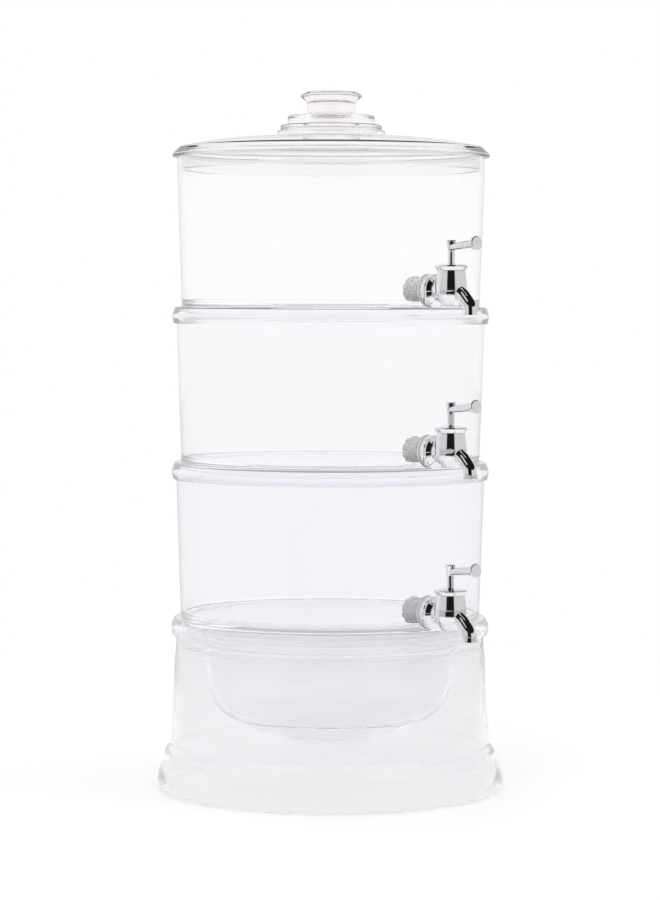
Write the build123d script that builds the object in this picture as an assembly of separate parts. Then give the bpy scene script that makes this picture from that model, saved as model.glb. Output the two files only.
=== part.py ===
"""Three-tier clear beverage dispenser, in millimetres.

Three identical clear tanks stack on a flared clear stand that holds an ice bowl. Each tank has a
collar round its foot that caps the rim below, and a small metal tap low in its front wall. A domed
lid with a hollow knob closes the top tank. The stack's axis is Z, the stand's foot is on Z = 0 and
the taps point along -Y.
"""

from build123d import *
import math
import os

# Stack
stand_height = 125.0
stack_pitch = 116.0
tank_names = ["bottom", "middle", "top"]

# Tank shell
mouth_radius = 115.0
wall_draft = 3.5
wall = 2.8
mouth_band = 18.0
rim_round = 0.8
floor_thickness = 2.8
floor_corner = 5.0

# Seat of one tank in the next
seat_gap = 0.5
plug_drop = 4.5
plug_wall = 2.4
roof_thickness = 1.8
collar_drop = 10.8
collar_lead = 0.5
collar_roof_overhang = 1.6
collar_roof_round = 2.0
collar_bulge_overhang = 3.6
collar_bulge_round = 8.0
collar_rim_overhang = 2.6
collar_rim_round = 0.9

# Stand
stand_flare = 14.8
stand_wall = 3.0
band_round = 2.2
ledge_drop = 18.0
ledge_thickness = 2.5
ledge_width = 4.0

# Ice bowl
bowl_wall = 2.4
bowl_rim_thickness = 2.2
bowl_rim_gap = 0.4
bowl_flange_width = 15.7
bowl_depth = 68.5
bowl_side_round = 30.0
bowl_base_round = 40.0

# Lid
lid_overhang = 4.0
lid_plate = 2.6
lid_rim_height = 5.2
lid_rim_drop = 2.4
lid_rim_round = 1.5
lid_dome_rise = 7.4
lid_dome_round = 115.0
lid_boss_radius = 38.0
lid_boss_height = 9.4
lid_step_width = 2.6
lid_step_height = 5.0
lid_boss_round = 1.2
lid_skirt_drop = 12.0
lid_skirt_wall = 2.0
lid_ring_height = 2.0
lid_ring_wall = 1.8
knob_ring_gap = 0.3

# Knob
knob_flange_radius = 32.6
knob_flange_height = 7.0
knob_neck_radius = 18.1
knob_head_radius = 23.0
knob_height = 26.0
knob_wall = 2.2
knob_crown = 9.0
knob_round = 1.2

# Tap seat in the tank's wall
pad_proud = 0.3
pad_margin = 0.1
seat_collar_gap = 0.4
pocket_clearance = 0.4
shank_clearance = 0.4
cut_overrun = 1.0

# Tap body
tap_flange_radius = 11.8
tap_flange_length = 5.6
tap_flange_round = 2.2
tap_neck_radius = 8.2
tap_neck_round = 1.2
valve_reach = 22.0
shank_radius = 6.5
shank_tail = 1.6
thread_pitch = 1.5
thread_depth = 0.5
waterway_radius = 3.4
housing_radius = 11.4
housing_top = 14.4
housing_bottom = 11.0
housing_top_radius = 10.2
chamber_radius = 6.45
chamber_depth = 6.0

# Spout
spout_radius = 4.9
spout_reach = 20.5
spout_drop = 17.5
spout_elbow_round = 8.0
spout_mouth_round = 6.5
spout_lip = 0.5
spout_lip_height = 1.4

# Washers and nut
outer_washer_radius = 11.2
inner_washer_radius = 10.3
washer_thickness = 1.8
nut_radius = 8.7
nut_grip_radius = 10.3
nut_length = 14.5
nut_grip_length = 4.5
nut_round = 0.6
nut_grips = 10
nut_grip_depth = 0.7
nut_grip_cutter = 2.0
nut_thread_gap = 0.05

# Valve core
core_gap = 0.05
core_end_gap = 0.2
stem_radius = 1.6
seal_section = 0.75
seal_gap = 0.02
seal_side_gap = 0.05
seal_height = 8.8

# Bonnet
bonnet_spigot = 2.4
bonnet_radius = 11.8
bonnet_height = 5.1
bonnet_edge = 1.0
bonnet_round = 0.4

# Lever
lever_gap = 0.3
lever_post_height = 16.2
lever_post_radius = 2.5
lever_head_radius = 3.7
lever_round = 0.6
lever_socket_depth = 10.2
lever_reach = 27.5
lever_rise = 2.6
lever_axis_height = 11.2
lever_rod_radius = 2.7
lever_rod_end_radius = 3.0
lever_disc_radius = 5.0
lever_disc_thickness = 2.6
lever_disc_round = 0.7

# Outline of the stand, from the band down: shares of the flare, of the height and, for each
# corner's rounding, of the height
stand_shares = [(0.088, 0.72, 0.90), (0.163, 0.48, 0.90), (0.264, 0.336, 0.90), (0.29, 0.272, 0.04),
                (0.565, 0.222, 0.04), (0.60, 0.182, 0.05), (0.922, 0.094, 0.10),
                (1.0, 0.034, 0.06), (0.90, 0.0, 0.01)]
# Upper and lower end of the collar's bulge: shares of its drop
collar_shares = (0.35, 0.63)
# Outline of the bowl: shares of its mouth radius and of its depth, from the rim down
bowl_shares = [(0.905, 0.70), (0.47, 1.0)]
# Outline of the lid's dome: shares of the way in to the boss and of the dome's rise
dome_shares = [(0.32, 0.56), (0.55, 0.84)]
# Outline of the knob: shares of the head over the neck and of the height above the flange
knob_shares = [(0.0, 0.47), (0.35, 0.60), (1.0, 0.74), (1.0, 0.82), (0.10, 0.95)]
# Belly and base of the tap's housing: shares of its radius and of its height above or below
housing_belly_share = 0.30
housing_base_share = 0.55
# Points of the spout's path: shares of its reach and drop
spout_shares = [(0.20, -0.06), (0.63, 0.22), (1.0, 0.66), (1.0, 1.0)]

# The most of a run between two corners that their roundings may take
arc_share = 0.98

# Sizes that follow
mouth_inner_radius = mouth_radius - wall
foot_wall_radius = mouth_radius - wall_draft
collar_roof_radius = mouth_radius + collar_roof_overhang
collar_bulge_radius = mouth_radius + collar_bulge_overhang
collar_rim_radius = mouth_radius + collar_rim_overhang
bowl_mouth_radius = mouth_inner_radius - bowl_flange_width
lid_radius = mouth_radius + lid_overhang
plug_radius = mouth_inner_radius - seat_gap
pad_radius = tap_flange_radius + pad_margin
tap_height = roof_thickness + seat_collar_gap + pad_radius
wall_run = stack_pitch - mouth_band - roof_thickness
draft_slope = wall_draft / wall_run
seat_distance = foot_wall_radius + draft_slope * (tap_height + pad_radius) + pad_proud
inner_seat_distance = foot_wall_radius + draft_slope * tap_height - wall
seat_thickness = seat_distance - inner_seat_distance
shank_length = seat_thickness + washer_thickness + nut_length + shank_tail
bonnet_top = housing_top + bonnet_height
lever_foot = bonnet_top + lever_gap
stack_top = stand_height + stack_pitch * len(tank_names)


def eased(points, rounds):
    """Corner roundings, less where two neighbours' arcs would need more than the run between them."""
    spots = [Vector(*point) for point in points]
    runs = [after - spot for spot, after in zip(spots, spots[1:] + spots[:1])]
    turns = [math.radians(before.get_angle(run)) for before, run in zip(runs[-1:] + runs[:-1], runs)]
    cuts = [rounding * math.tan(turn / 2) for rounding, turn in zip(rounds, turns)]
    needs = [cut + next_cut for cut, next_cut in zip(cuts, cuts[1:] + cuts[:1])]
    fits = [min(1, arc_share * run.length / need) if need > 0 else 1 for run, need in zip(runs, needs)]
    return [rounding * min(pair) for rounding, pair in zip(rounds, zip(fits[-1:] + fits[:-1], fits))]


def turned(corners):
    """A solid turned about Z from rows of radius, height and corner rounding."""
    points = [(radius, height) for radius, height, _ in corners]
    rounds = eased(points, [rounding for _, _, rounding in corners])
    outline = FilletPolyline(*points, radius=rounds, close=True)
    return revolve(Plane.XZ * make_face(outline.edges()), Axis.Z)


def laid(solid):
    """Lays a solid turned about Z down, so that its axis points out along -Y."""
    return Rot(90, 0, 0) * solid


def rod(radius, low, high):
    """A plain cylinder about Z from one height to another."""
    return Pos(0, 0, (low + high) / 2) * Cylinder(radius, high - low)


def tube_along(points, rounds, radius):
    """A round bar swept along straight runs joined by arcs, in the plane that holds the tap."""
    path = FilletPolyline(*points, radius=eased(points, [0, *rounds, 0])[1:-1])
    start = Plane(path @ 0, z_dir=path % 0)
    return sweep(start * Circle(radius), path)


# Stand

def make_stand():
    """Hollow flared stand with a straight mouth band, a stepped foot and a ledge for the bowl."""
    side = [(mouth_radius + stand_flare * out, stand_height * up, stand_height * rounding)
            for out, up, rounding in stand_shares]
    foot_radius, _, foot_round = side[-1]
    ledge_top = stand_height - ledge_drop
    ledge_foot = ledge_top - ledge_thickness
    ledge_radius = mouth_inner_radius - ledge_width
    corners = [(mouth_radius, stand_height, rim_round), (mouth_radius, ledge_top, band_round)]
    corners += side
    corners += [(foot_radius - stand_wall, 0, foot_round)]
    corners += [(radius - stand_wall, height, rounding) for radius, height, rounding in side[-3::-1]]
    corners += [(mouth_inner_radius, ledge_foot, 0),
                (ledge_radius, ledge_foot, 0),
                (ledge_radius, ledge_top, 0),
                (mouth_inner_radius, ledge_top, 0),
                (mouth_inner_radius, stand_height, rim_round)]
    return turned(corners)


def make_bowl():
    """Deep round bowl that hangs by its rim on the stand's ledge."""
    seat = stand_height - ledge_drop
    rim_top = seat + bowl_rim_thickness
    outer = [(bowl_mouth_radius * out, seat - bowl_depth * down) for out, down in bowl_shares]
    roundings = [bowl_side_round, bowl_base_round]
    corners = [(0, seat - bowl_depth + bowl_wall, 0)]
    corners += [(radius - bowl_wall, height + bowl_wall, rounding - bowl_wall)
                for (radius, height), rounding in zip(reversed(outer), reversed(roundings))]
    corners += [(bowl_mouth_radius - bowl_wall, rim_top, rim_round),
                (mouth_inner_radius - bowl_rim_gap, rim_top, 0),
                (mouth_inner_radius - bowl_rim_gap, seat, 0),
                (bowl_mouth_radius, seat, bowl_wall)]
    corners += [(radius, height, rounding) for (radius, height), rounding in zip(outer, roundings)]
    corners += [(0, seat - bowl_depth, 0)]
    return turned(corners)


# Tanks

def make_tank(seat_height):
    """Round tank with a drafted wall, a collar round its foot and a flat seat for its tap."""
    wall_top = stack_pitch - mouth_band
    collar_inner = mouth_radius + seat_gap
    bulge_top, bulge_foot = (-collar_drop * down for down in collar_shares)
    corners = [(plug_radius, -plug_drop, rim_round),
               (plug_radius, 0, 0),
               (collar_inner, 0, 0),
               (collar_inner + collar_lead, -collar_drop, 0),
               (collar_rim_radius, -collar_drop, collar_rim_round),
               (collar_bulge_radius, bulge_foot, collar_bulge_round),
               (collar_bulge_radius, bulge_top, collar_bulge_round),
               (collar_roof_radius, roof_thickness, collar_roof_round),
               (foot_wall_radius, roof_thickness, 0),
               (mouth_radius, wall_top, band_round),
               (mouth_radius, stack_pitch, rim_round),
               (mouth_inner_radius, stack_pitch, rim_round),
               (mouth_inner_radius, wall_top, band_round),
               (foot_wall_radius - wall, floor_thickness, floor_corner),
               (0, floor_thickness, 0),
               (0, 0, 0),
               (plug_radius - plug_wall, 0, rim_round),
               (plug_radius - plug_wall, -plug_drop, rim_round)]
    shell = turned(corners)
    pad = Pos(0, 0, tap_height) * laid(rod(pad_radius, inner_seat_distance, seat_distance))
    pocket_radius = max(inner_washer_radius, nut_grip_radius) + pocket_clearance
    pocket_end = seat_distance - shank_length - pocket_clearance
    pocket = Pos(0, 0, tap_height) * laid(rod(pocket_radius, pocket_end, inner_seat_distance))
    hole_end = seat_distance + cut_overrun
    hole = Pos(0, 0, tap_height) * laid(rod(shank_radius + shank_clearance, pocket_end, hole_end))
    return Pos(0, 0, seat_height) * ((shell + pad) - pocket - hole)


# Lid and knob

def make_lid():
    """Domed lid with a thick rolled rim, a skirt that plugs the mouth and a boss for the knob."""
    span = lid_radius - lid_boss_radius
    dome = [(lid_radius - span * inward, lid_rim_height + lid_dome_rise * up)
            for inward, up in dome_shares]
    dome_top = lid_rim_height + lid_dome_rise
    boss_top = dome_top + lid_boss_height
    boss_inner = lid_boss_radius - lid_plate
    step_radius = lid_boss_radius + lid_step_width
    step_top = dome_top + lid_step_height
    ring_radius = knob_neck_radius - knob_wall - knob_ring_gap
    ring_inner = ring_radius - lid_ring_wall
    lip_radius = mouth_radius + seat_gap
    skirt_inner = plug_radius - lid_skirt_wall
    corners = [(0, boss_top, 0),
               (ring_inner, boss_top, 0),
               (ring_inner, boss_top + lid_ring_height, 0),
               (ring_radius, boss_top + lid_ring_height, 0),
               (ring_radius, boss_top, 0),
               (lid_boss_radius, boss_top, lid_boss_round),
               (lid_boss_radius, step_top, rim_round),
               (step_radius, step_top, rim_round),
               (step_radius, dome_top, rim_round)]
    corners += [(radius, height, lid_dome_round) for radius, height in dome[::-1]]
    corners += [(lid_radius - lid_rim_height, lid_rim_height, lid_rim_round),
                (lid_radius, 0, lid_rim_round),
                (lid_radius, -lid_rim_drop, lid_rim_round),
                (lip_radius, -lid_rim_drop, rim_round),
                (lip_radius, 0, 0),
                (plug_radius, 0, 0),
                (plug_radius, -lid_skirt_drop, rim_round),
                (skirt_inner, -lid_skirt_drop, rim_round),
                (skirt_inner, lid_rim_height - lid_plate, rim_round)]
    corners += [(radius, height - lid_plate, lid_dome_round) for radius, height in dome]
    corners += [(boss_inner, dome_top - lid_plate, lid_boss_round),
                (boss_inner, boss_top - lid_plate, lid_boss_round),
                (0, boss_top - lid_plate, 0)]
    return Pos(0, 0, stack_top) * turned(corners)


def make_knob():
    """Hollow mushroom knob with a wide flange, bonded over the ring on the lid's boss."""
    overhang = knob_head_radius - knob_neck_radius
    rise = knob_height - knob_flange_height
    cavity_radius = knob_neck_radius - knob_wall
    corners = [(knob_flange_radius, 0, 0),
               (knob_flange_radius, knob_flange_height, knob_round),
               (knob_neck_radius, knob_flange_height + knob_round, knob_round)]
    corners += [(knob_neck_radius + overhang * out, knob_flange_height + rise * up, knob_round)
                for out, up in knob_shares]
    corners += [(0, knob_height, 0),
                (0, knob_height - knob_crown, 0),
                (cavity_radius, knob_height - knob_crown, knob_round),
                (cavity_radius, 0, 0)]
    boss_top = stack_top + lid_rim_height + lid_dome_rise + lid_boss_height
    return Pos(0, 0, boss_top) * turned(corners)


# Tap

def spout_path():
    """Points of the spout's centre line as distance out and height from the tap's axis."""
    return [(0, -(valve_reach + spout_reach * out), -spout_drop * down)
            for out, down in spout_shares]


def make_tap_body():
    """One casting: threaded shank, flange, neck, barrel housing and downturned spout."""
    corners = [(0, -shank_length, 0), (shank_radius - thread_depth, -shank_length, 0)]
    turns = int((shank_length - thread_pitch) / thread_pitch)
    for turn in range(turns):
        foot = -shank_length + thread_pitch * (turn + 1 / 2)
        corners += [(shank_radius - thread_depth, foot, 0),
                    (shank_radius, foot + thread_pitch / 2, 0)]
    flange_end = washer_thickness + tap_flange_length
    corners += [(shank_radius - thread_depth, 0, 0),
                (shank_radius - thread_depth, washer_thickness, 0),
                (tap_flange_radius, washer_thickness, bonnet_round),
                (tap_flange_radius, flange_end, tap_flange_round),
                (tap_neck_radius, flange_end, tap_neck_round),
                (tap_neck_radius, valve_reach, 0),
                (0, valve_reach, 0)]
    barrel = [(0, -housing_bottom, 0),
              (housing_radius * housing_base_share, -housing_bottom, tap_flange_round),
              (housing_radius, -housing_bottom * housing_belly_share, housing_radius),
              (housing_radius, housing_top * housing_belly_share, housing_radius),
              (housing_top_radius, housing_top, bonnet_round),
              (0, housing_top, 0)]
    rounds = [spout_elbow_round, spout_mouth_round]
    spout = tube_along(spout_path(), rounds, spout_radius)
    end_out = valve_reach + spout_reach
    lip = Pos(0, -end_out, 0) * rod(spout_radius + spout_lip, -spout_drop,
                                    spout_lip_height - spout_drop)
    solid = laid(turned(corners)) + Pos(0, -valve_reach, 0) * turned(barrel) + spout + lip
    inlet = laid(rod(waterway_radius, -shank_length - cut_overrun, valve_reach))
    chamber = rod(chamber_radius, -chamber_depth, housing_top + cut_overrun)
    outlet = tube_along(spout_path(), rounds, waterway_radius)
    throat = laid(rod(waterway_radius, valve_reach, valve_reach + spout_radius))
    tail = Pos(0, -end_out, 0) * rod(waterway_radius, -spout_drop - cut_overrun, -spout_drop)
    return solid - inlet - Pos(0, -valve_reach, 0) * chamber - outlet - throat - tail


def make_outer_washer():
    """Clear soft washer between the tap's flange and the outside of the tank."""
    ring = rod(outer_washer_radius, 0, washer_thickness) - rod(shank_radius, 0, washer_thickness)
    return laid(ring)


def make_inner_washer():
    """Soft washer between the nut and the inside of the tank."""
    low = -seat_thickness - washer_thickness
    ring = rod(inner_washer_radius, low, -seat_thickness) - rod(shank_radius, low, -seat_thickness)
    return laid(ring)


def make_nut():
    """Round clear nut with a fluted grip at its inner end."""
    seat = -seat_thickness - washer_thickness
    end = seat - nut_length
    bore = shank_radius + nut_thread_gap
    nut = turned([(bore, seat, 0), (nut_radius, seat, nut_round),
                  (nut_radius, end + nut_grip_length, 0),
                  (nut_grip_radius, end + nut_grip_length, nut_round),
                  (nut_grip_radius, end, nut_round), (bore, end, 0)])
    reach = nut_grip_radius + nut_grip_cutter - nut_grip_depth
    cutter = rod(nut_grip_cutter, end - cut_overrun, end + nut_grip_length + cut_overrun)
    for flute in range(nut_grips):
        nut -= Rot(0, 0, 360 / nut_grips * flute) * Pos(reach, 0, 0) * cutter
    return laid(nut)


def make_core():
    """Turning plug with a cross bore, a groove for its seal and a slim stem."""
    radius = chamber_radius - core_gap
    top = housing_top - bonnet_spigot - core_end_gap
    groove_radius = chamber_radius - seal_gap - 2 * seal_section
    groove_half = seal_section + seal_side_gap
    plug = rod(radius, core_end_gap - chamber_depth, top)
    groove = rod(radius + cut_overrun, seal_height - groove_half, seal_height + groove_half)
    groove -= rod(groove_radius, seal_height - groove_half, seal_height + groove_half)
    bore = Rot(0, 90, 0) * rod(waterway_radius, -radius - cut_overrun, radius + cut_overrun)
    stem = rod(stem_radius, top, lever_foot + lever_socket_depth)
    return Pos(0, -valve_reach, 0) * (plug - groove - bore + stem)


def make_core_seal():
    """Rubber ring in the core's groove."""
    ring_radius = chamber_radius - seal_gap - seal_section
    return Pos(0, -valve_reach, seal_height) * Torus(ring_radius, seal_section)


def make_bonnet():
    """Saucer-shaped cap that closes the housing and guides the stem."""
    bore = stem_radius + core_gap
    spigot = chamber_radius - core_gap
    edge_top = bonnet_height / 2 + bonnet_edge
    corners = [(bore, housing_top - bonnet_spigot, 0),
               (spigot, housing_top - bonnet_spigot, 0),
               (spigot, housing_top, 0),
               (housing_top_radius, housing_top, 0),
               (bonnet_radius, housing_top + bonnet_height / 2, bonnet_round),
               (bonnet_radius, housing_top + edge_top, bonnet_round),
               (lever_head_radius, bonnet_top, bonnet_edge),
               (bore, bonnet_top, 0)]
    return Pos(0, -valve_reach, 0) * turned(corners)


def make_lever():
    """Trumpet-shaped post with a tapered arm that ends in a round disc."""
    top = lever_foot + lever_post_height
    post = turned([(0, lever_foot, 0), (lever_post_radius, lever_foot, 0),
                   (lever_post_radius, lever_foot + lever_post_height / 2, lever_post_height),
                   (lever_head_radius, top, lever_round), (0, top, 0)])
    tilt = math.degrees(math.atan2(lever_rise, lever_reach))
    arm_end = lever_reach - lever_disc_thickness / 2
    arm = Pos(0, 0, arm_end / 2) * Cone(lever_rod_radius, lever_rod_end_radius, arm_end)
    disc = turned([(0, lever_reach - lever_disc_thickness, 0),
                   (lever_disc_radius, lever_reach - lever_disc_thickness, lever_disc_round),
                   (lever_disc_radius, lever_reach, lever_disc_round), (0, lever_reach, 0)])
    swing = Pos(0, 0, lever_foot + lever_axis_height) * Rot(-tilt, 0, 0) * laid(arm + disc)
    socket = rod(stem_radius, lever_foot, lever_foot + lever_socket_depth)
    return Pos(0, -valve_reach, 0) * (post + swing - socket)


# Assembly

def tap_pieces():
    """All pieces of one tap, about its axis at the outer face of the tank's seat."""
    return {
        "tap_body": make_tap_body(),
        "tap_bonnet": make_bonnet(),
        "tap_core": make_core(),
        "tap_core_seal": make_core_seal(),
        "tap_lever": make_lever(),
        "tap_outer_washer": make_outer_washer(),
        "tap_inner_washer": make_inner_washer(),
        "tap_inner_nut": make_nut(),
    }


def dispenser():
    """Every piece of the stack by name, where it stands."""
    pieces = {"stand": make_stand(), "ice_bowl": make_bowl()}
    tap = tap_pieces()
    for place, name in enumerate(tank_names):
        seat = stand_height + stack_pitch * place
        pieces[name + "_tank"] = make_tank(seat)
        for piece, solid in tap.items():
            pieces[name + "_" + piece] = Pos(0, -seat_distance, seat + tap_height) * solid
    pieces["lid"] = make_lid()
    pieces["lid_knob"] = make_knob()
    return pieces


os.makedirs("parts", exist_ok=True)
for name, piece in dispenser().items():
    export_step(piece, "parts/" + name + ".step")
    print(name, round(piece.volume), "mm3")
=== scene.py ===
import math

import bmesh
import bpy
from mathutils import Matrix, Vector


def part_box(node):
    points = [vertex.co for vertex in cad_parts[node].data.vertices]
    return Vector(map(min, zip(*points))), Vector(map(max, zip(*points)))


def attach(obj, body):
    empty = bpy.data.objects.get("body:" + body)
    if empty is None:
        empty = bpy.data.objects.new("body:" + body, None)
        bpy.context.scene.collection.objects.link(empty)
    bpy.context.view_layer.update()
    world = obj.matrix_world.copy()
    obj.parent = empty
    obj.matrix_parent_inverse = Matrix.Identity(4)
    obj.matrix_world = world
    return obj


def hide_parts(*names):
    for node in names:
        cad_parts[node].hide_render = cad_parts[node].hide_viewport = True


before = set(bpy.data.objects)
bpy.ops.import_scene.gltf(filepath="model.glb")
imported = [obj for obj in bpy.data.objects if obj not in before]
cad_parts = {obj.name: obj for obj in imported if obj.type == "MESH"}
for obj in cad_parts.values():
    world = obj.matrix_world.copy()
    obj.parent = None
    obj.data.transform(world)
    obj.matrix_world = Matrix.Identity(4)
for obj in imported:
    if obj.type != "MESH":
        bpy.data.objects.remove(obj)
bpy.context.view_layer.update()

# Studio
# A pale table that fades into a white room. Only polished surfaces pick up the studio itself: a dark
# wall in front, a dark ceiling with one bright cloth in it, and grey sides.


def add_node(tree, kind, inputs=None, **settings):
    """A new node with its settings, and its inputs set to values or linked to sockets."""
    node = tree.nodes.new(kind)
    for name, value in settings.items():
        setattr(node, name, value)
    for name, value in (inputs or {}).items():
        if isinstance(value, bpy.types.NodeSocket):
            tree.links.new(value, node.inputs[name])
        else:
            node.inputs[name].default_value = value
    return node


def maths(tree, operation, *values):
    """The result of one sum on numbers or sockets."""
    inputs = dict(enumerate(values))
    return add_node(tree, "ShaderNodeMath", inputs, operation=operation).outputs[0]


def smooth_step(tree, value, start, end, first=0.0, last=1.0):
    """Goes smoothly from a first to a last number while a value rises from start to end."""
    inputs = {"Value": value, "From Min": start, "From Max": end, "To Min": first, "To Max": last}
    return add_node(tree, "ShaderNodeMapRange", inputs, interpolation_type="SMOOTHSTEP").outputs[0]


def new_group(name, kind, inputs, outputs):
    """A node group with its named sockets, and the two nodes at its ends."""
    group = bpy.data.node_groups.new(name, kind)
    for way, sockets in (("INPUT", inputs), ("OUTPUT", outputs)):
        for title, socket_kind in sockets.items():
            group.interface.new_socket(name=title, in_out=way, socket_type=socket_kind)
    return group, group.nodes.new("NodeGroupInput"), group.nodes.new("NodeGroupOutput")


wall_bearing = math.radians(-137.0)
wall_half_width = math.radians(34.0)
wall_core_share = 0.75
ceiling_edge = 0.44
ceiling_fade = 0.1
cloth_way = (-0.586, -0.039, 0.809)
cloth_edge = (0.975, 0.992)


def studio_group():
    """How dark the studio is in a direction: a wall in front and a ceiling with a bright cloth."""
    group, source, result = new_group("dark_studio", "ShaderNodeTree",
                                      {"Direction": "NodeSocketVector"},
                                      {"Dark": "NodeSocketFloat"})
    direction = source.outputs["Direction"]
    apart = add_node(group, "ShaderNodeSeparateXYZ", {0: direction}).outputs
    bearing = maths(group, "ARCTAN2", apart["X"], apart["Y"])
    aside = maths(group, "PINGPONG", maths(group, "SUBTRACT", bearing, wall_bearing), math.pi)
    wall_core = wall_half_width * wall_core_share
    wall = smooth_step(group, aside, wall_core, wall_half_width, first=1.0, last=0.0)
    ceiling = smooth_step(group, apart["Z"], ceiling_edge - ceiling_fade, ceiling_edge)
    toward = add_node(group, "ShaderNodeVectorMath", {0: direction, 1: cloth_way},
                      operation="DOT_PRODUCT")
    around_cloth = smooth_step(group, toward.outputs["Value"], *cloth_edge, first=1.0, last=0.0)
    dark = maths(group, "MULTIPLY", maths(group, "MAXIMUM", wall, ceiling), around_cloth)
    group.links.new(dark, result.inputs["Dark"])
    return group


dark_studio = studio_group()
white = (1.0, 1.0, 1.0, 1.0)
studio_black = (0.012, 0.012, 0.014, 1.0)


def mixed(tree, share, first, second):
    """A colour that goes from a first to a second one while the share goes from 0 to 1."""
    inputs = {0: share, 6: first, 7: second}
    return add_node(tree, "ShaderNodeMix", inputs, data_type="RGBA").outputs[2]


def mixed_shader(tree, share, first, second):
    """A first shader that gives way to a second one while the share goes from 0 to 1."""
    inputs = {0: share, 1: first.outputs[0], 2: second.outputs[0]}
    return add_node(tree, "ShaderNodeMixShader", inputs).outputs[0]


def seen_directly(tree, ray):
    """1 for what the eye, a polished surface or clear plastic sees, 0 for light on matt things."""
    eye_or_mirror = maths(tree, "MAXIMUM", ray["Is Camera Ray"], ray["Is Glossy Ray"])
    return maths(tree, "MAXIMUM", eye_or_mirror, ray["Is Transmission Ray"])


def white_or_studio(tree, ray, direction, side_grey):
    """White to the eye and through clear plastic, the studio with its grey sides in reflections."""
    studio = add_node(tree, "ShaderNodeGroup", {"Direction": direction}, node_tree=dark_studio)
    sides = (side_grey, side_grey, side_grey, 1.0)
    mirrored = mixed(tree, studio.outputs["Dark"], sides, studio_black)
    return mixed(tree, ray["Is Reflection Ray"], white, mirrored)


world = bpy.data.worlds.new("studio_room")
bpy.context.scene.world = world
world.use_nodes = True
room = world.node_tree
room.nodes.clear()
room_ray = room.nodes.new("ShaderNodeLightPath").outputs
room_way = room.nodes.new("ShaderNodeTexCoord").outputs["Generated"]
room_colour = white_or_studio(room, room_ray, room_way, side_grey=0.78)
shown_room = add_node(room, "ShaderNodeBackground", {"Color": room_colour, "Strength": 1.0})
soft_light = add_node(room, "ShaderNodeBackground", {"Color": white, "Strength": 0.75})
room_light = mixed_shader(room, seen_directly(room, room_ray), soft_light, shown_room)
add_node(room, "ShaderNodeOutputWorld", {"Surface": room_light})


def put_in(name, data):
    """A new object in the scene, made from its mesh, lamp or lens."""
    thing = bpy.data.objects.new(name, data)
    bpy.context.scene.collection.objects.link(thing)
    return thing


def new_material(name):
    """A material with nothing in its node tree yet."""
    material = bpy.data.materials.new(name)
    material.use_nodes = True
    material.node_tree.nodes.clear()
    return material, material.node_tree


table_reach = 6.0
table_drop = 0.0003
table_grey = (0.9, 0.9, 0.9, 1.0)
table_edge = (0.45, 0.90)

table_mesh = bpy.data.meshes.new("table_top")
table_corners = [(x * table_reach, y * table_reach, -table_drop)
                 for x, y in ((-1, -1), (1, -1), (1, 1), (-1, 1))]
table_mesh.from_pydata(table_corners, [], [(0, 1, 2, 3)])
table_top = put_in("table_top", table_mesh)
table_material, table_tree = new_material("pale_table")
table_ray = table_tree.nodes.new("ShaderNodeLightPath").outputs
table_place = table_tree.nodes.new("ShaderNodeTexCoord").outputs["Object"]
table_seen = seen_directly(table_tree, table_ray)
table_paint = add_node(table_tree, "ShaderNodeBsdfPrincipled", {
    "Base Color": table_grey, "Roughness": 0.6,
    "Emission Color": table_seen, "Emission Strength": 0.22})
far_colour = white_or_studio(table_tree, table_ray, table_place, side_grey=0.6)
far_white = add_node(table_tree, "ShaderNodeEmission", {"Color": far_colour, "Strength": 1.0})
away = add_node(table_tree, "ShaderNodeVectorMath", {0: table_place}, operation="LENGTH")
faded = smooth_step(table_tree, away.outputs["Value"], *table_edge)
faded = maths(table_tree, "MULTIPLY", faded, table_seen)
table_surface = mixed_shader(table_tree, faded, table_paint, far_white)
add_node(table_tree, "ShaderNodeOutputMaterial", {"Surface": table_surface})
table_mesh.materials.append(table_material)


def facing(place, way):
    """Stands a lamp or a camera at a place and turns it to look one way."""
    return Matrix.Translation(place) @ way.to_track_quat("-Z", "Y").to_matrix().to_4x4()


def soft_box(name, place, aim_height, size, watts):
    """A square studio lamp with a white cloth front, aimed at a height on the stack's axis."""
    lamp = bpy.data.lights.new(name, "AREA")
    lamp.size = size
    lamp.energy = watts
    holder = put_in(name, lamp)
    holder.matrix_world = facing(place, Vector((0, 0, aim_height)) - Vector(place))
    holder.visible_glossy = False
    holder.visible_transmission = False


soft_box("lamp_over_left", (-1.6, -0.9, 1.9), aim_height=0.25, size=1.4, watts=14)
soft_box("lamp_over_right", (1.2, -1.6, 1.7), aim_height=0.25, size=1.2, watts=9)
soft_box("lamp_behind", (0.6, 1.8, 1.6), aim_height=0.3, size=1.4, watts=8)

camera_turn = math.radians(-39.7)
camera_distance = 2.2
camera_height = 0.364
camera_roll = math.radians(0.15)

lens = bpy.data.cameras.new("camera")
lens.lens = 117.3
lens.shift_x = -0.0008
lens.shift_y = -0.1667
camera = put_in("camera", lens)
camera_back = Vector((math.sin(camera_turn), -math.cos(camera_turn), 0))
camera_place = camera_back * camera_distance + Vector((0, 0, camera_height))
camera.matrix_world = facing(camera_place, -camera_back) @ Matrix.Rotation(camera_roll, 4, "Z")
bpy.context.scene.camera = camera
bpy.context.scene.view_settings.view_transform = "Standard"

# Stand
# A hollow flared foot, moulded in a milkier plastic than the tanks and open below. A ledge inside
# its mouth band carries the ice bowl.

mm = 0.001
segments_around = 256
arc_step = math.radians(12)
arc_hold = 0.05


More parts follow.
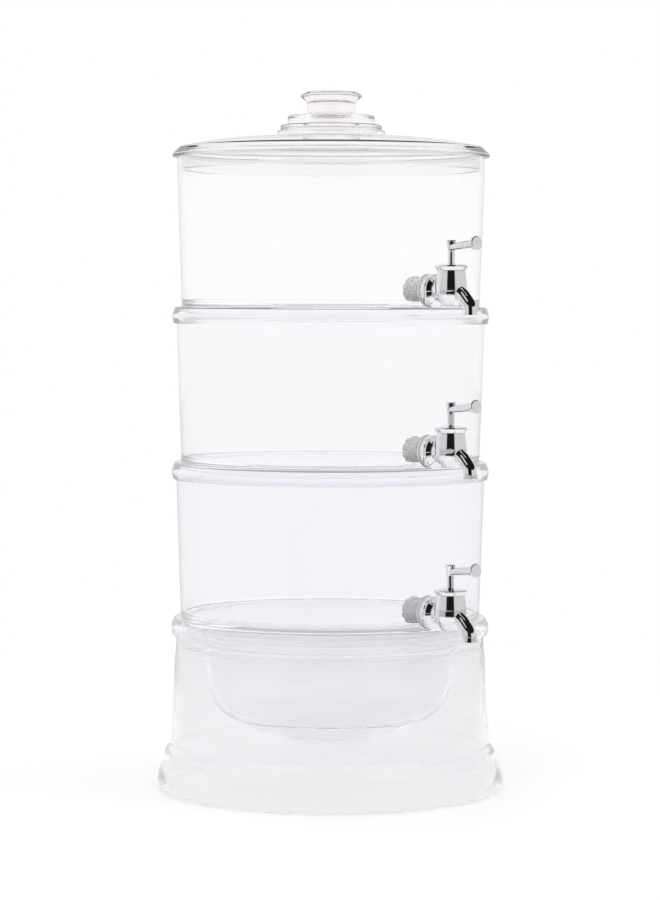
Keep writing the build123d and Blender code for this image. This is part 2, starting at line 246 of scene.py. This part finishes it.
def rounded(corners, closed=True):
    """Outline points in metres, from rows of radius, height and corner rounding in millimetres.

    A point held close to each end of a rounding keeps the straight runs shaded flat.
    """
    points = []
    places = [Vector((radius, height)) for radius, height, _ in corners]
    for number, (place, (_, _, rounding)) in enumerate(zip(places, corners)):
        ends = not closed and number in (0, len(corners) - 1)
        if rounding == 0 or ends:
            points.append(place)
            continue
        back = (places[number - 1] - place).normalized()
        ahead = (places[(number + 1) % len(places)] - place).normalized()
        half = back.angle(ahead) / 2
        cut = rounding / math.tan(half)
        centre = place + (back + ahead).normalized() * (rounding / math.sin(half))
        start = place + back * cut - centre
        end = place + ahead * cut - centre
        first = math.atan2(start.y, start.x)
        sweep = (math.atan2(end.y, end.x) - first + math.pi) % (2 * math.pi) - math.pi
        steps = max(2, math.ceil(abs(sweep) / arc_step))
        arc = [first + sweep * step / steps for step in range(steps + 1)]
        arc = [centre + Vector((math.cos(turn), math.sin(turn))) * rounding for turn in arc]
        points += [arc[0] + back * arc_hold, *arc, arc[-1] + ahead * arc_hold]
    if closed:
        points.append(points[0])
    return [Vector((point.x * mm, 0, point.y * mm)) for point in points]


seam_distance = 2e-6
flute_sharpness = 1.5


def turning_tree():
    """Turns an outline round the Z axis, with optional flutes pressed into its widest part."""
    sockets = {"Outline": "NodeSocketGeometry", "Outline Points": "NodeSocketInt",
               "Segments": "NodeSocketInt", "Flutes": "NodeSocketInt",
               "Flute Depth": "NodeSocketFloat", "Flute From Radius": "NodeSocketFloat",
               "Material": "NodeSocketMaterial"}
    tree, source, result = new_group("turn_outline", "GeometryNodeTree", sockets,
                                     {"Shell": "NodeSocketGeometry"})
    given = source.outputs
    columns = maths(tree, "ADD", given["Segments"], 1)
    grid = add_node(tree, "GeometryNodeMeshGrid", {"Vertices X": columns,
                                                   "Vertices Y": given["Outline Points"]})
    number = tree.nodes.new("GeometryNodeInputIndex").outputs[0]
    row = maths(tree, "FLOORED_MODULO", number, given["Outline Points"])
    middle = maths(tree, "ADD", number, 0.5)
    column = maths(tree, "FLOOR", maths(tree, "DIVIDE", middle, given["Outline Points"]))
    place = tree.nodes.new("GeometryNodeInputPosition").outputs[0]
    sample = add_node(tree, "GeometryNodeSampleIndex",
                      {"Geometry": given["Outline"], "Value": place, "Index": row},
                      data_type="FLOAT_VECTOR", domain="POINT")
    apart = add_node(tree, "ShaderNodeSeparateXYZ", {0: sample.outputs[0]}).outputs
    turn = maths(tree, "MULTIPLY", maths(tree, "DIVIDE", column, given["Segments"]), 2 * math.pi)
    wave = maths(tree, "COSINE", maths(tree, "MULTIPLY", turn, given["Flutes"]))
    pressed = maths(tree, "POWER", maths(tree, "MAXIMUM", wave, 0.0), flute_sharpness)
    outer = maths(tree, "GREATER_THAN", apart["X"], given["Flute From Radius"])
    depth = maths(tree, "MULTIPLY", maths(tree, "MULTIPLY", pressed, outer), given["Flute Depth"])
    radius = maths(tree, "SUBTRACT", apart["X"], depth)
    across = maths(tree, "MULTIPLY", radius, maths(tree, "COSINE", turn))
    along = maths(tree, "MULTIPLY", radius, maths(tree, "SINE", turn))
    spot = add_node(tree, "ShaderNodeCombineXYZ", {"X": across, "Y": along, "Z": apart["Z"]})
    shape = add_node(tree, "GeometryNodeSetPosition", {"Geometry": grid.outputs["Mesh"],
                                                       "Position": spot.outputs[0]})
    seam = add_node(tree, "GeometryNodeMergeByDistance", {"Geometry": shape.outputs[0],
                                                          "Distance": seam_distance})
    real = add_node(tree, "GeometryNodeRealizeInstances", {0: seam.outputs[0]})
    finish = add_node(tree, "GeometryNodeSetMaterial", {"Geometry": real.outputs[0],
                                                        "Material": given["Material"]})
    tree.links.new(finish.outputs[0], result.inputs["Shell"])
    return tree


turn_outline = turning_tree()
turn_inputs = {socket.name: socket.identifier for socket in turn_outline.interface.items_tree}


def bake(piece, modifier):
    """Makes a piece a plain mesh as its modifier shows it, and takes the modifier away."""
    shown = piece.evaluated_get(bpy.context.evaluated_depsgraph_get())
    mesh = bpy.data.meshes.new_from_object(shown)
    mesh.name = piece.name
    piece.modifiers.remove(modifier)
    piece.data = mesh


merge_distance = 1e-6


def finish_mesh(mesh, sharp_degrees=28):
    """Closes and turns outwards a new mesh, and shades it smooth but for its sharp edges."""
    shape = bmesh.new()
    shape.from_mesh(mesh)
    bmesh.ops.remove_doubles(shape, verts=shape.verts, dist=merge_distance)
    loose = [edge for edge in shape.edges if not edge.link_faces]
    bmesh.ops.delete(shape, geom=loose, context="EDGES")
    bmesh.ops.recalc_face_normals(shape, faces=shape.faces)
    shape.to_mesh(mesh)
    shape.free()
    mesh.shade_smooth()
    mesh.set_sharp_from_angle(angle=math.radians(sharp_degrees))


def turned(name, outline, material, segments=segments_around,
           flutes=0, flute_depth=0.0, flute_from=0.0):
    """A piece turned about Z from its outline, as a plain mesh object."""
    mesh = bpy.data.meshes.new(name)
    mesh.from_pydata(outline, [], [])
    piece = put_in(name, mesh)
    turning = piece.modifiers.new("turning", "NODES")
    turning.node_group = turn_outline
    values = {"Outline Points": len(outline), "Segments": segments, "Flutes": flutes,
              "Flute Depth": flute_depth, "Flute From Radius": flute_from, "Material": material}
    for title, value in values.items():
        turning[turn_inputs[title]] = value
    bake(piece, turning)
    finish_mesh(piece.data)
    return piece


def wear_group():
    """Faint wipe marks and the slow ripple of moulded plastic, as a mask and a height."""
    scales = {"Mark Scale": "NodeSocketFloat", "Ripple Scale": "NodeSocketFloat"}
    results = {"Marks": "NodeSocketFloat", "Ripple": "NodeSocketFloat"}
    group, source, result = new_group("handling_marks", "ShaderNodeTree", scales, results)
    place = group.nodes.new("ShaderNodeTexCoord").outputs["Object"]
    marks = add_node(group, "ShaderNodeTexNoise", {
        "Vector": place, "Scale": source.outputs["Mark Scale"], "Detail": 5.0, "Roughness": 0.6})
    spread = add_node(group, "ShaderNodeMapRange", {
        "Value": marks.outputs[0], "From Min": 0.45, "From Max": 0.75})
    ripple = add_node(group, "ShaderNodeTexNoise", {
        "Vector": place, "Scale": source.outputs["Ripple Scale"], "Detail": 1.0})
    group.links.new(spread.outputs[0], result.inputs["Marks"])
    group.links.new(ripple.outputs[0], result.inputs["Ripple"])
    return group


handling_marks = wear_group()


def add_wear(tree, shader, scales, roughness, ripple):
    """Dulls a shader with wipe marks and bends its surface with a ripple. Gives back the marks.

    The scales are those of the marks and the ripple, the roughness is that of a clean and a marked
    place, and the ripple has a strength and a height in metres.
    """
    inputs = {"Mark Scale": scales[0], "Ripple Scale": scales[1]}
    wear = add_node(tree, "ShaderNodeGroup", inputs, node_tree=handling_marks).outputs
    dullness = add_node(tree, "ShaderNodeMapRange", {
        "Value": wear["Marks"], "To Min": roughness[0], "To Max": roughness[1]})
    relief = add_node(tree, "ShaderNodeBump", {
        "Height": wear["Ripple"], "Strength": ripple[0], "Distance": ripple[1]})
    tree.links.new(dullness.outputs[0], shader.inputs["Roughness"])
    tree.links.new(relief.outputs[0], shader.inputs["Normal"])
    return wear["Marks"]


clear_mark_dullness = 0.03
glow_after_bounces = 2.5
lamp_share = (0.93, 0.93, 0.93, 1.0)
depth_tint = (0.55, 0.56, 0.60, 1.0)


def clear_plastic(name, tint_and_shade, painted_glow, bending=1.30, clearness=1.0, roughness=0.0):
    """Clear moulded plastic with faint wipe marks and a slow ripple. Lamps shine through it.

    Light that is trapped in its edges would end there as black after a few bounces. There the
    plastic glows with painted light instead, a share of the room's white.
    """
    material, tree = new_material(name)
    ray = tree.nodes.new("ShaderNodeLightPath").outputs
    # Painted light: once a ray has made three or more glossy bounces, the plastic glows white.
    painted_glow_mask = maths(tree, "GREATER_THAN", ray["Glossy Depth"], glow_after_bounces)
    shader = add_node(tree, "ShaderNodeBsdfPrincipled", {
        "Base Color": tint_and_shade, "IOR": bending, "Transmission Weight": clearness,
        "Emission Color": painted_glow_mask, "Emission Strength": painted_glow})
    add_wear(tree, shader, scales=(38.0, 26.0), ripple=(0.25, 0.01 * mm),
             roughness=(roughness, roughness + clear_mark_dullness))
    lamplight = add_node(tree, "ShaderNodeBsdfTransparent", {"Color": lamp_share})
    surface = mixed_shader(tree, ray["Is Shadow Ray"], shader, lamplight)
    depth = add_node(tree, "ShaderNodeVolumeAbsorption", {"Color": depth_tint, "Density": 1.2})
    add_node(tree, "ShaderNodeOutputMaterial", {"Surface": surface, "Volume": depth.outputs[0]})
    return material


stand_plastic = clear_plastic("milky_stand_plastic", (0.97, 0.97, 0.985, 1.0), 0.22,
                              bending=1.33, clearness=0.86, roughness=0.03)
stand_outside = [(115.0, 125.0, 0.8), (115.0, 107.0, 2.2), (116.3, 90.0, 112.0), (117.4, 60.0, 112.0),
                 (118.9, 42.0, 112.0), (119.3, 34.0, 5.0), (123.36, 27.75, 5.0), (123.9, 22.75, 6.0),
                 (128.6, 11.75, 12.0), (129.75, 4.25, 7.0), (128.3, 0.0, 1.2)]
stand_inside = [(125.3, 0.0, 1.2), (125.6, 11.75, 12.0), (120.9, 22.75, 6.0), (120.36, 27.75, 5.0),
                (116.3, 34.0, 5.0), (115.9, 42.0, 112.0), (114.4, 60.0, 112.0), (113.3, 90.0, 112.0),
                (112.2, 104.5, 0.0), (108.2, 104.5, 0.0), (108.2, 107.0, 0.0), (112.2, 107.0, 0.0),
                (112.2, 125.0, 0.8)]
stand = turned("stand_shell", rounded(stand_outside + stand_inside), stand_plastic)
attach(stand, "stand")
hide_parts("stand")

# Ice bowl
# A deep bowl, moulded in the tanks' plastic but a little milkier. It hangs by its flat rim on the
# ledge inside the stand, and lifts out once the tank above it is off.

seat_gap = 0.05
bowl_outline = [(0, 40.9, 0), (43.0, 40.9, 37.6), (84.93, 61.45, 27.6), (94.1, 109.2, 0.8),
                (111.8, 109.2, 0.0), (111.8, 107.0 + seat_gap, 0.0), (96.5, 107.0 + seat_gap, 2.4),
                (87.33, 59.05, 30.0), (45.4, 38.5, 40.0), (0, 38.5, 0)]
bowl_plastic = clear_plastic("clear_bowl_plastic", (0.98, 0.98, 0.99, 1.0), 0.20,
                             clearness=0.96, roughness=0.01)
ice_bowl = turned("ice_bowl_shell", rounded(bowl_outline, closed=False), bowl_plastic)
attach(ice_bowl, "ice_bowl")
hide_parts("ice_bowl")

# Tanks
# Three clear tanks from one mould. A collar round the foot caps the rim below and a short ring plugs
# its mouth. A round pad is moulded on the wall as a seat for the tap, with a flat pocket inside it.

# Painted shade: the lower the tank, the darker and bluer its plastic and the more it glows.
tank_levels = {"bottom": ((0.957, 0.955, 0.978, 1.0), 0.20),
               "middle": ((0.973, 0.973, 0.986, 1.0), 0.15),
               "top": ((0.992, 0.992, 0.996, 1.0), 0.12)}
tank_height = 116.0
tank_outline = [(0.0, 0.0, 0.0), (109.3, 0.0, 0.8), (109.3, -4.5, 0.8), (111.7, -4.5, 0.8),
                (111.7, seat_gap, 0.0), (115.5, seat_gap, 0.0), (116.0, -10.8, 0.0),
                (117.6, -10.8, 0.9), (118.6, -6.8, 8.0), (118.6, -3.78, 8.0), (116.6, 1.8, 2.0),
                (111.5, 1.8, 0.4), (115.0, 98.0, 2.2), (115.0, tank_height, 0.8),
                (112.2, tank_height, 0.8), (112.2, 98.0, 2.2), (108.7, 2.8, 5.0), (0.0, 2.8, 0.0)]
pad_radius = 11.9
pocket_radius = 10.7
hole_radius = 6.9
hole_overrun = 1.0
nut_room = 22.0
plug_segments = 128


def raised(outline, height):
    """An outline lifted by a height in metres."""
    return [point + Vector((0, 0, height)) for point in outline]


def lay_down(mesh, top_way, y, z):
    """Lays a mesh that stands on Z along Y instead, with its top to +Y or -Y, and puts it in place."""
    mesh.transform(Matrix.Translation((0, y, z)) @ Matrix.Rotation(-top_way * math.pi / 2, 4, "X"))


def round_plug(radius, near_y, far_y, height):
    """A closed round bar along Y, from one place to another at a height, all in metres."""
    mesh = bpy.data.meshes.new("plug")
    form = bmesh.new()
    bmesh.ops.create_cone(form, cap_ends=True, segments=plug_segments, radius1=radius,
                          radius2=radius, depth=far_y - near_y)
    form.to_mesh(mesh)
    form.free()
    lay_down(mesh, -1, (near_y + far_y) / 2, height)
    return put_in("plug", mesh)


def shaped(piece, operation, tool):
    """Joins a closed tool to a piece, or cuts it out of it, and takes the tool away."""
    change = piece.modifiers.new("shaping", "BOOLEAN")
    change.operation = operation
    change.solver = "EXACT"
    change.object = tool
    bake(piece, change)
    bpy.data.objects.remove(tool)


tap_seats = {}
for level, (tint_and_shade, painted_glow) in tank_levels.items():
    washer_low, washer_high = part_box(level + "_tap_outer_washer")
    tank_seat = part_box(level + "_tank")[1].z - tank_height * mm
    outer_y = washer_high.y
    inner_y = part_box(level + "_tap_inner_washer")[0].y
    inner_end = inner_y + nut_room * mm
    axis_z = (washer_low.z + washer_high.z) / 2
    tap_seats[level] = (inner_y, outer_y, axis_z)
    outline = raised(rounded(tank_outline, closed=False), tank_seat)
    tank_plastic = clear_plastic(level + "_tank_plastic", tint_and_shade, painted_glow)
    tank = turned(level + "_tank_shell", outline, tank_plastic)
    hole_start = outer_y - hole_overrun * mm
    shaped(tank, "UNION", round_plug(pad_radius * mm, outer_y, inner_y, axis_z))
    shaped(tank, "DIFFERENCE", round_plug(pocket_radius * mm, inner_y, inner_end, axis_z))
    shaped(tank, "DIFFERENCE", round_plug(hole_radius * mm, hole_start, inner_end, axis_z))
    finish_mesh(tank.data)
    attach(tank, level + "_tank")
    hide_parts(level + "_tank")

# Taps
# Plated castings. Each has a threaded shank through the wall, a flange with a shallow cone in front
# of it, a barrel with a downturned spout, a saucer-shaped bonnet, and a lever on the core's stem.

casting_sharp_degrees = 32


def polished(node, piece_name, material):
    """A smooth-shaded copy of a machined piece, with its doubled points merged."""
    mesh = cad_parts[node].data.copy()
    mesh.name = piece_name
    mesh.materials.clear()
    mesh.materials.append(material)
    piece = put_in(piece_name, mesh)
    if mesh.has_custom_normals:
        bpy.context.view_layer.objects.active = piece
        bpy.ops.mesh.customdata_custom_splitnormals_clear()
    finish_mesh(mesh, casting_sharp_degrees)
    return piece


def chrome_plate(name, clean, marked):
    """Bright plating that is a little darker and duller at its wipe marks."""
    material, tree = new_material(name)
    shader = add_node(tree, "ShaderNodeBsdfPrincipled", {"Metallic": 1.0})
    marks = add_wear(tree, shader, scales=(260.0, 120.0), ripple=(0.15, 0.03 * mm),
                     roughness=(0.03, 0.11))
    tree.links.new(mixed(tree, marks, clean, marked), shader.inputs["Base Color"])
    add_node(tree, "ShaderNodeOutputMaterial", {"Surface": shader.outputs[0]})
    return material


chrome = chrome_plate("bright_chrome", (0.80, 0.80, 0.81, 1.0), (0.72, 0.72, 0.74, 1.0))
flange_face = 7.4
cone_segments = 128
cone_rows = [(7.0, -1.0, 0.0), (11.4, -1.0, 0.0), (11.4, 0.3, 0.2), (8.4, 2.8, 0.8), (7.0, 2.8, 0.0)]


def flange_cone(outer_y, axis_z):
    """The shallow cone in front of the flange, which the casting's round neck grows out of."""
    cone = turned("flange_cone", rounded(cone_rows), chrome, cone_segments)
    lay_down(cone.data, -1, outer_y - flange_face * mm, axis_z)
    return cone


for level in tank_levels:
    _, outer_y, axis_z = tap_seats[level]
    for part, body in (("tap_body", "_tank"), ("tap_bonnet", "_tank"), ("tap_lever", "_valve")):
        piece = polished(level + "_" + part, level + "_" + part + "_plated", chrome)
        if part == "tap_body":
            shaped(piece, "UNION", flange_cone(outer_y, axis_z))
            finish_mesh(piece.data, casting_sharp_degrees)
        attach(piece, level + body)
        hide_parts(level + "_" + part)

# Valve cores and seals
# A white moulded plug turns in each barrel with the lever. A black rubber ring in the plug's groove
# keeps the barrel tight.

moulded_mark_tone = 0.88
moulded_mark_dullness = 0.12


def moulded(name, colour, roughness, grain_height, clearness=0.0, bending=1.5):
    """Plain moulded plastic or rubber with a fine grain."""
    material, tree = new_material(name)
    shader = add_node(tree, "ShaderNodeBsdfPrincipled", {
        "Transmission Weight": clearness, "IOR": bending})
    marks = add_wear(tree, shader, scales=(300.0, 900.0), ripple=(0.3, grain_height),
                     roughness=(roughness, roughness + moulded_mark_dullness))
    clean = (*colour, 1.0)
    marked = (*(value * moulded_mark_tone for value in colour), 1.0)
    tree.links.new(mixed(tree, marks, clean, marked), shader.inputs["Base Color"])
    add_node(tree, "ShaderNodeOutputMaterial", {"Surface": shader.outputs[0]})
    return material


valve_plastic = moulded("white_valve_plastic", (0.85, 0.85, 0.83),
                        roughness=0.45, grain_height=0.02 * mm)
seal_rubber = moulded("black_seal_rubber", (0.03, 0.03, 0.03),
                      roughness=0.6, grain_height=0.03 * mm)
for level in tank_levels:
    core = polished(level + "_tap_core", level + "_tap_core_plug", valve_plastic)
    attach(core, level + "_valve")
    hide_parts(level + "_tap_core")
    ring = polished(level + "_tap_core_seal", level + "_tap_core_ring", seal_rubber)
    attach(ring, level + "_valve")
    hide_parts(level + "_tap_core_seal")

# Washers and nuts
# Soft milky washers lie on both sides of the wall, and a translucent nut with a fluted grip draws
# the tap tight from inside.

silicone = moulded("milky_silicone", (0.95, 0.96, 0.94),
                   roughness=0.35, grain_height=0.02 * mm, clearness=0.4, bending=1.41)
nut_plastic = moulded("milky_nut_plastic", (0.96, 0.965, 0.93),
                      roughness=0.22, grain_height=0.02 * mm, clearness=0.3)
contact_gap = 0.04
washer_segments = 96
washer_thickness = 1.8
washer_hole_radius = 6.5
washer_rounding = 0.25
outer_washer_radius = 11.2
inner_washer_radius = 10.3
nut_segments = 160
nut_flutes = 10
nut_flute_depth = 0.9
nut_flutes_from = 9.4
nut_rows = [(6.55, contact_gap, 0.0), (8.7, contact_gap, 0.6), (8.7, 10.0, 0.0), (10.3, 10.0, 0.6),
            (10.3, 14.5, 0.6), (6.55, 14.5, 0.0)]
for level in tank_levels:
    inner_y, outer_y, axis_z = tap_seats[level]
    nut_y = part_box(level + "_tap_inner_nut")[0].y
    for part, radius, start_y, top_way in (("outer_washer", outer_washer_radius, outer_y, -1),
                                           ("inner_washer", inner_washer_radius, inner_y, 1)):
        near, far = contact_gap, washer_thickness - contact_gap
        rows = [(washer_hole_radius, near, 0.0), (radius, near, washer_rounding),
                (radius, far, washer_rounding), (washer_hole_radius, far, 0.0)]
        washer = turned(level + "_" + part, rounded(rows), silicone, washer_segments)
        lay_down(washer.data, top_way, start_y, axis_z)
        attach(washer, level + "_tank")
        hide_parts(level + "_tap_" + part)
    nut = turned(level + "_clear_nut", rounded(nut_rows), nut_plastic, nut_segments,
                 nut_flutes, nut_flute_depth * mm, nut_flutes_from * mm)
    lay_down(nut.data, 1, nut_y, axis_z)
    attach(nut, level + "_tank")
    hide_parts(level + "_tap_inner_nut")

# Lid and knob
# A domed clear lid with a thick rolled rim and a skirt in the top tank's mouth. A hollow knob is
# bonded over a ring on the lid's stepped boss.

lid_seat = 473.0
boss_height = 22.0
ring_height = 24.0
lid_rows = [(0.0, boss_height, 0.0), (13.8, boss_height, 0.0), (13.8, ring_height, 0.0),
            (15.6, ring_height, 0.0), (15.6, boss_height, 0.0), (38.0, boss_height, 1.2),
            (38.0, 17.6, 0.8), (40.6, 17.6, 0.8), (40.6, 12.6, 0.8), (74.45, 11.416, 115.0),
            (93.08, 9.344, 115.0), (113.8, 5.2, 1.5), (119.0, 0.0, 1.5), (119.0, -2.4, 1.5),
            (115.5, -2.4, 0.8), (115.5, seat_gap, 0.0), (111.7, seat_gap, 0.0),
            (111.7, -12.0, 0.8), (109.7, -12.0, 0.8), (109.7, 2.6, 0.8), (93.08, 6.744, 115.0),
            (74.45, 8.816, 115.0), (35.4, 10.0, 1.2), (35.4, 19.4, 1.2), (0.0, 19.4, 0.0)]
lid_outline = raised(rounded(lid_rows, closed=False), lid_seat * mm)
lid_plastic = clear_plastic("clear_lid_plastic", (0.965, 0.965, 0.972, 1.0), 0.02, bending=1.38)
lid = turned("lid_dome", lid_outline, lid_plastic)
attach(lid, "lid")
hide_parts("lid")

knob_seat = lid_seat + boss_height + seat_gap
knob_rows = [(0.0, 17.0, 0.0), (15.9, 17.0, 1.2), (15.9, 0.0, 0.0), (32.6, 0.0, 0.0),
             (32.6, 7.0, 1.2), (18.1, 8.2, 1.2), (18.1, 15.93, 1.2), (19.815, 18.4, 1.2),
             (23.0, 21.06, 1.2), (23.0, 22.58, 1.2), (18.59, 25.05, 1.2), (0.0, 25.95, 0.0)]
knob_outline = raised(rounded(knob_rows, closed=False), knob_seat * mm)
knob_plastic = clear_plastic("clear_knob_plastic", (0.975, 0.955, 0.965, 1.0), 0.07, bending=1.40)
knob = turned("lid_knob_shell", knob_outline, knob_plastic)
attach(knob, "lid")
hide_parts("lid_knob")
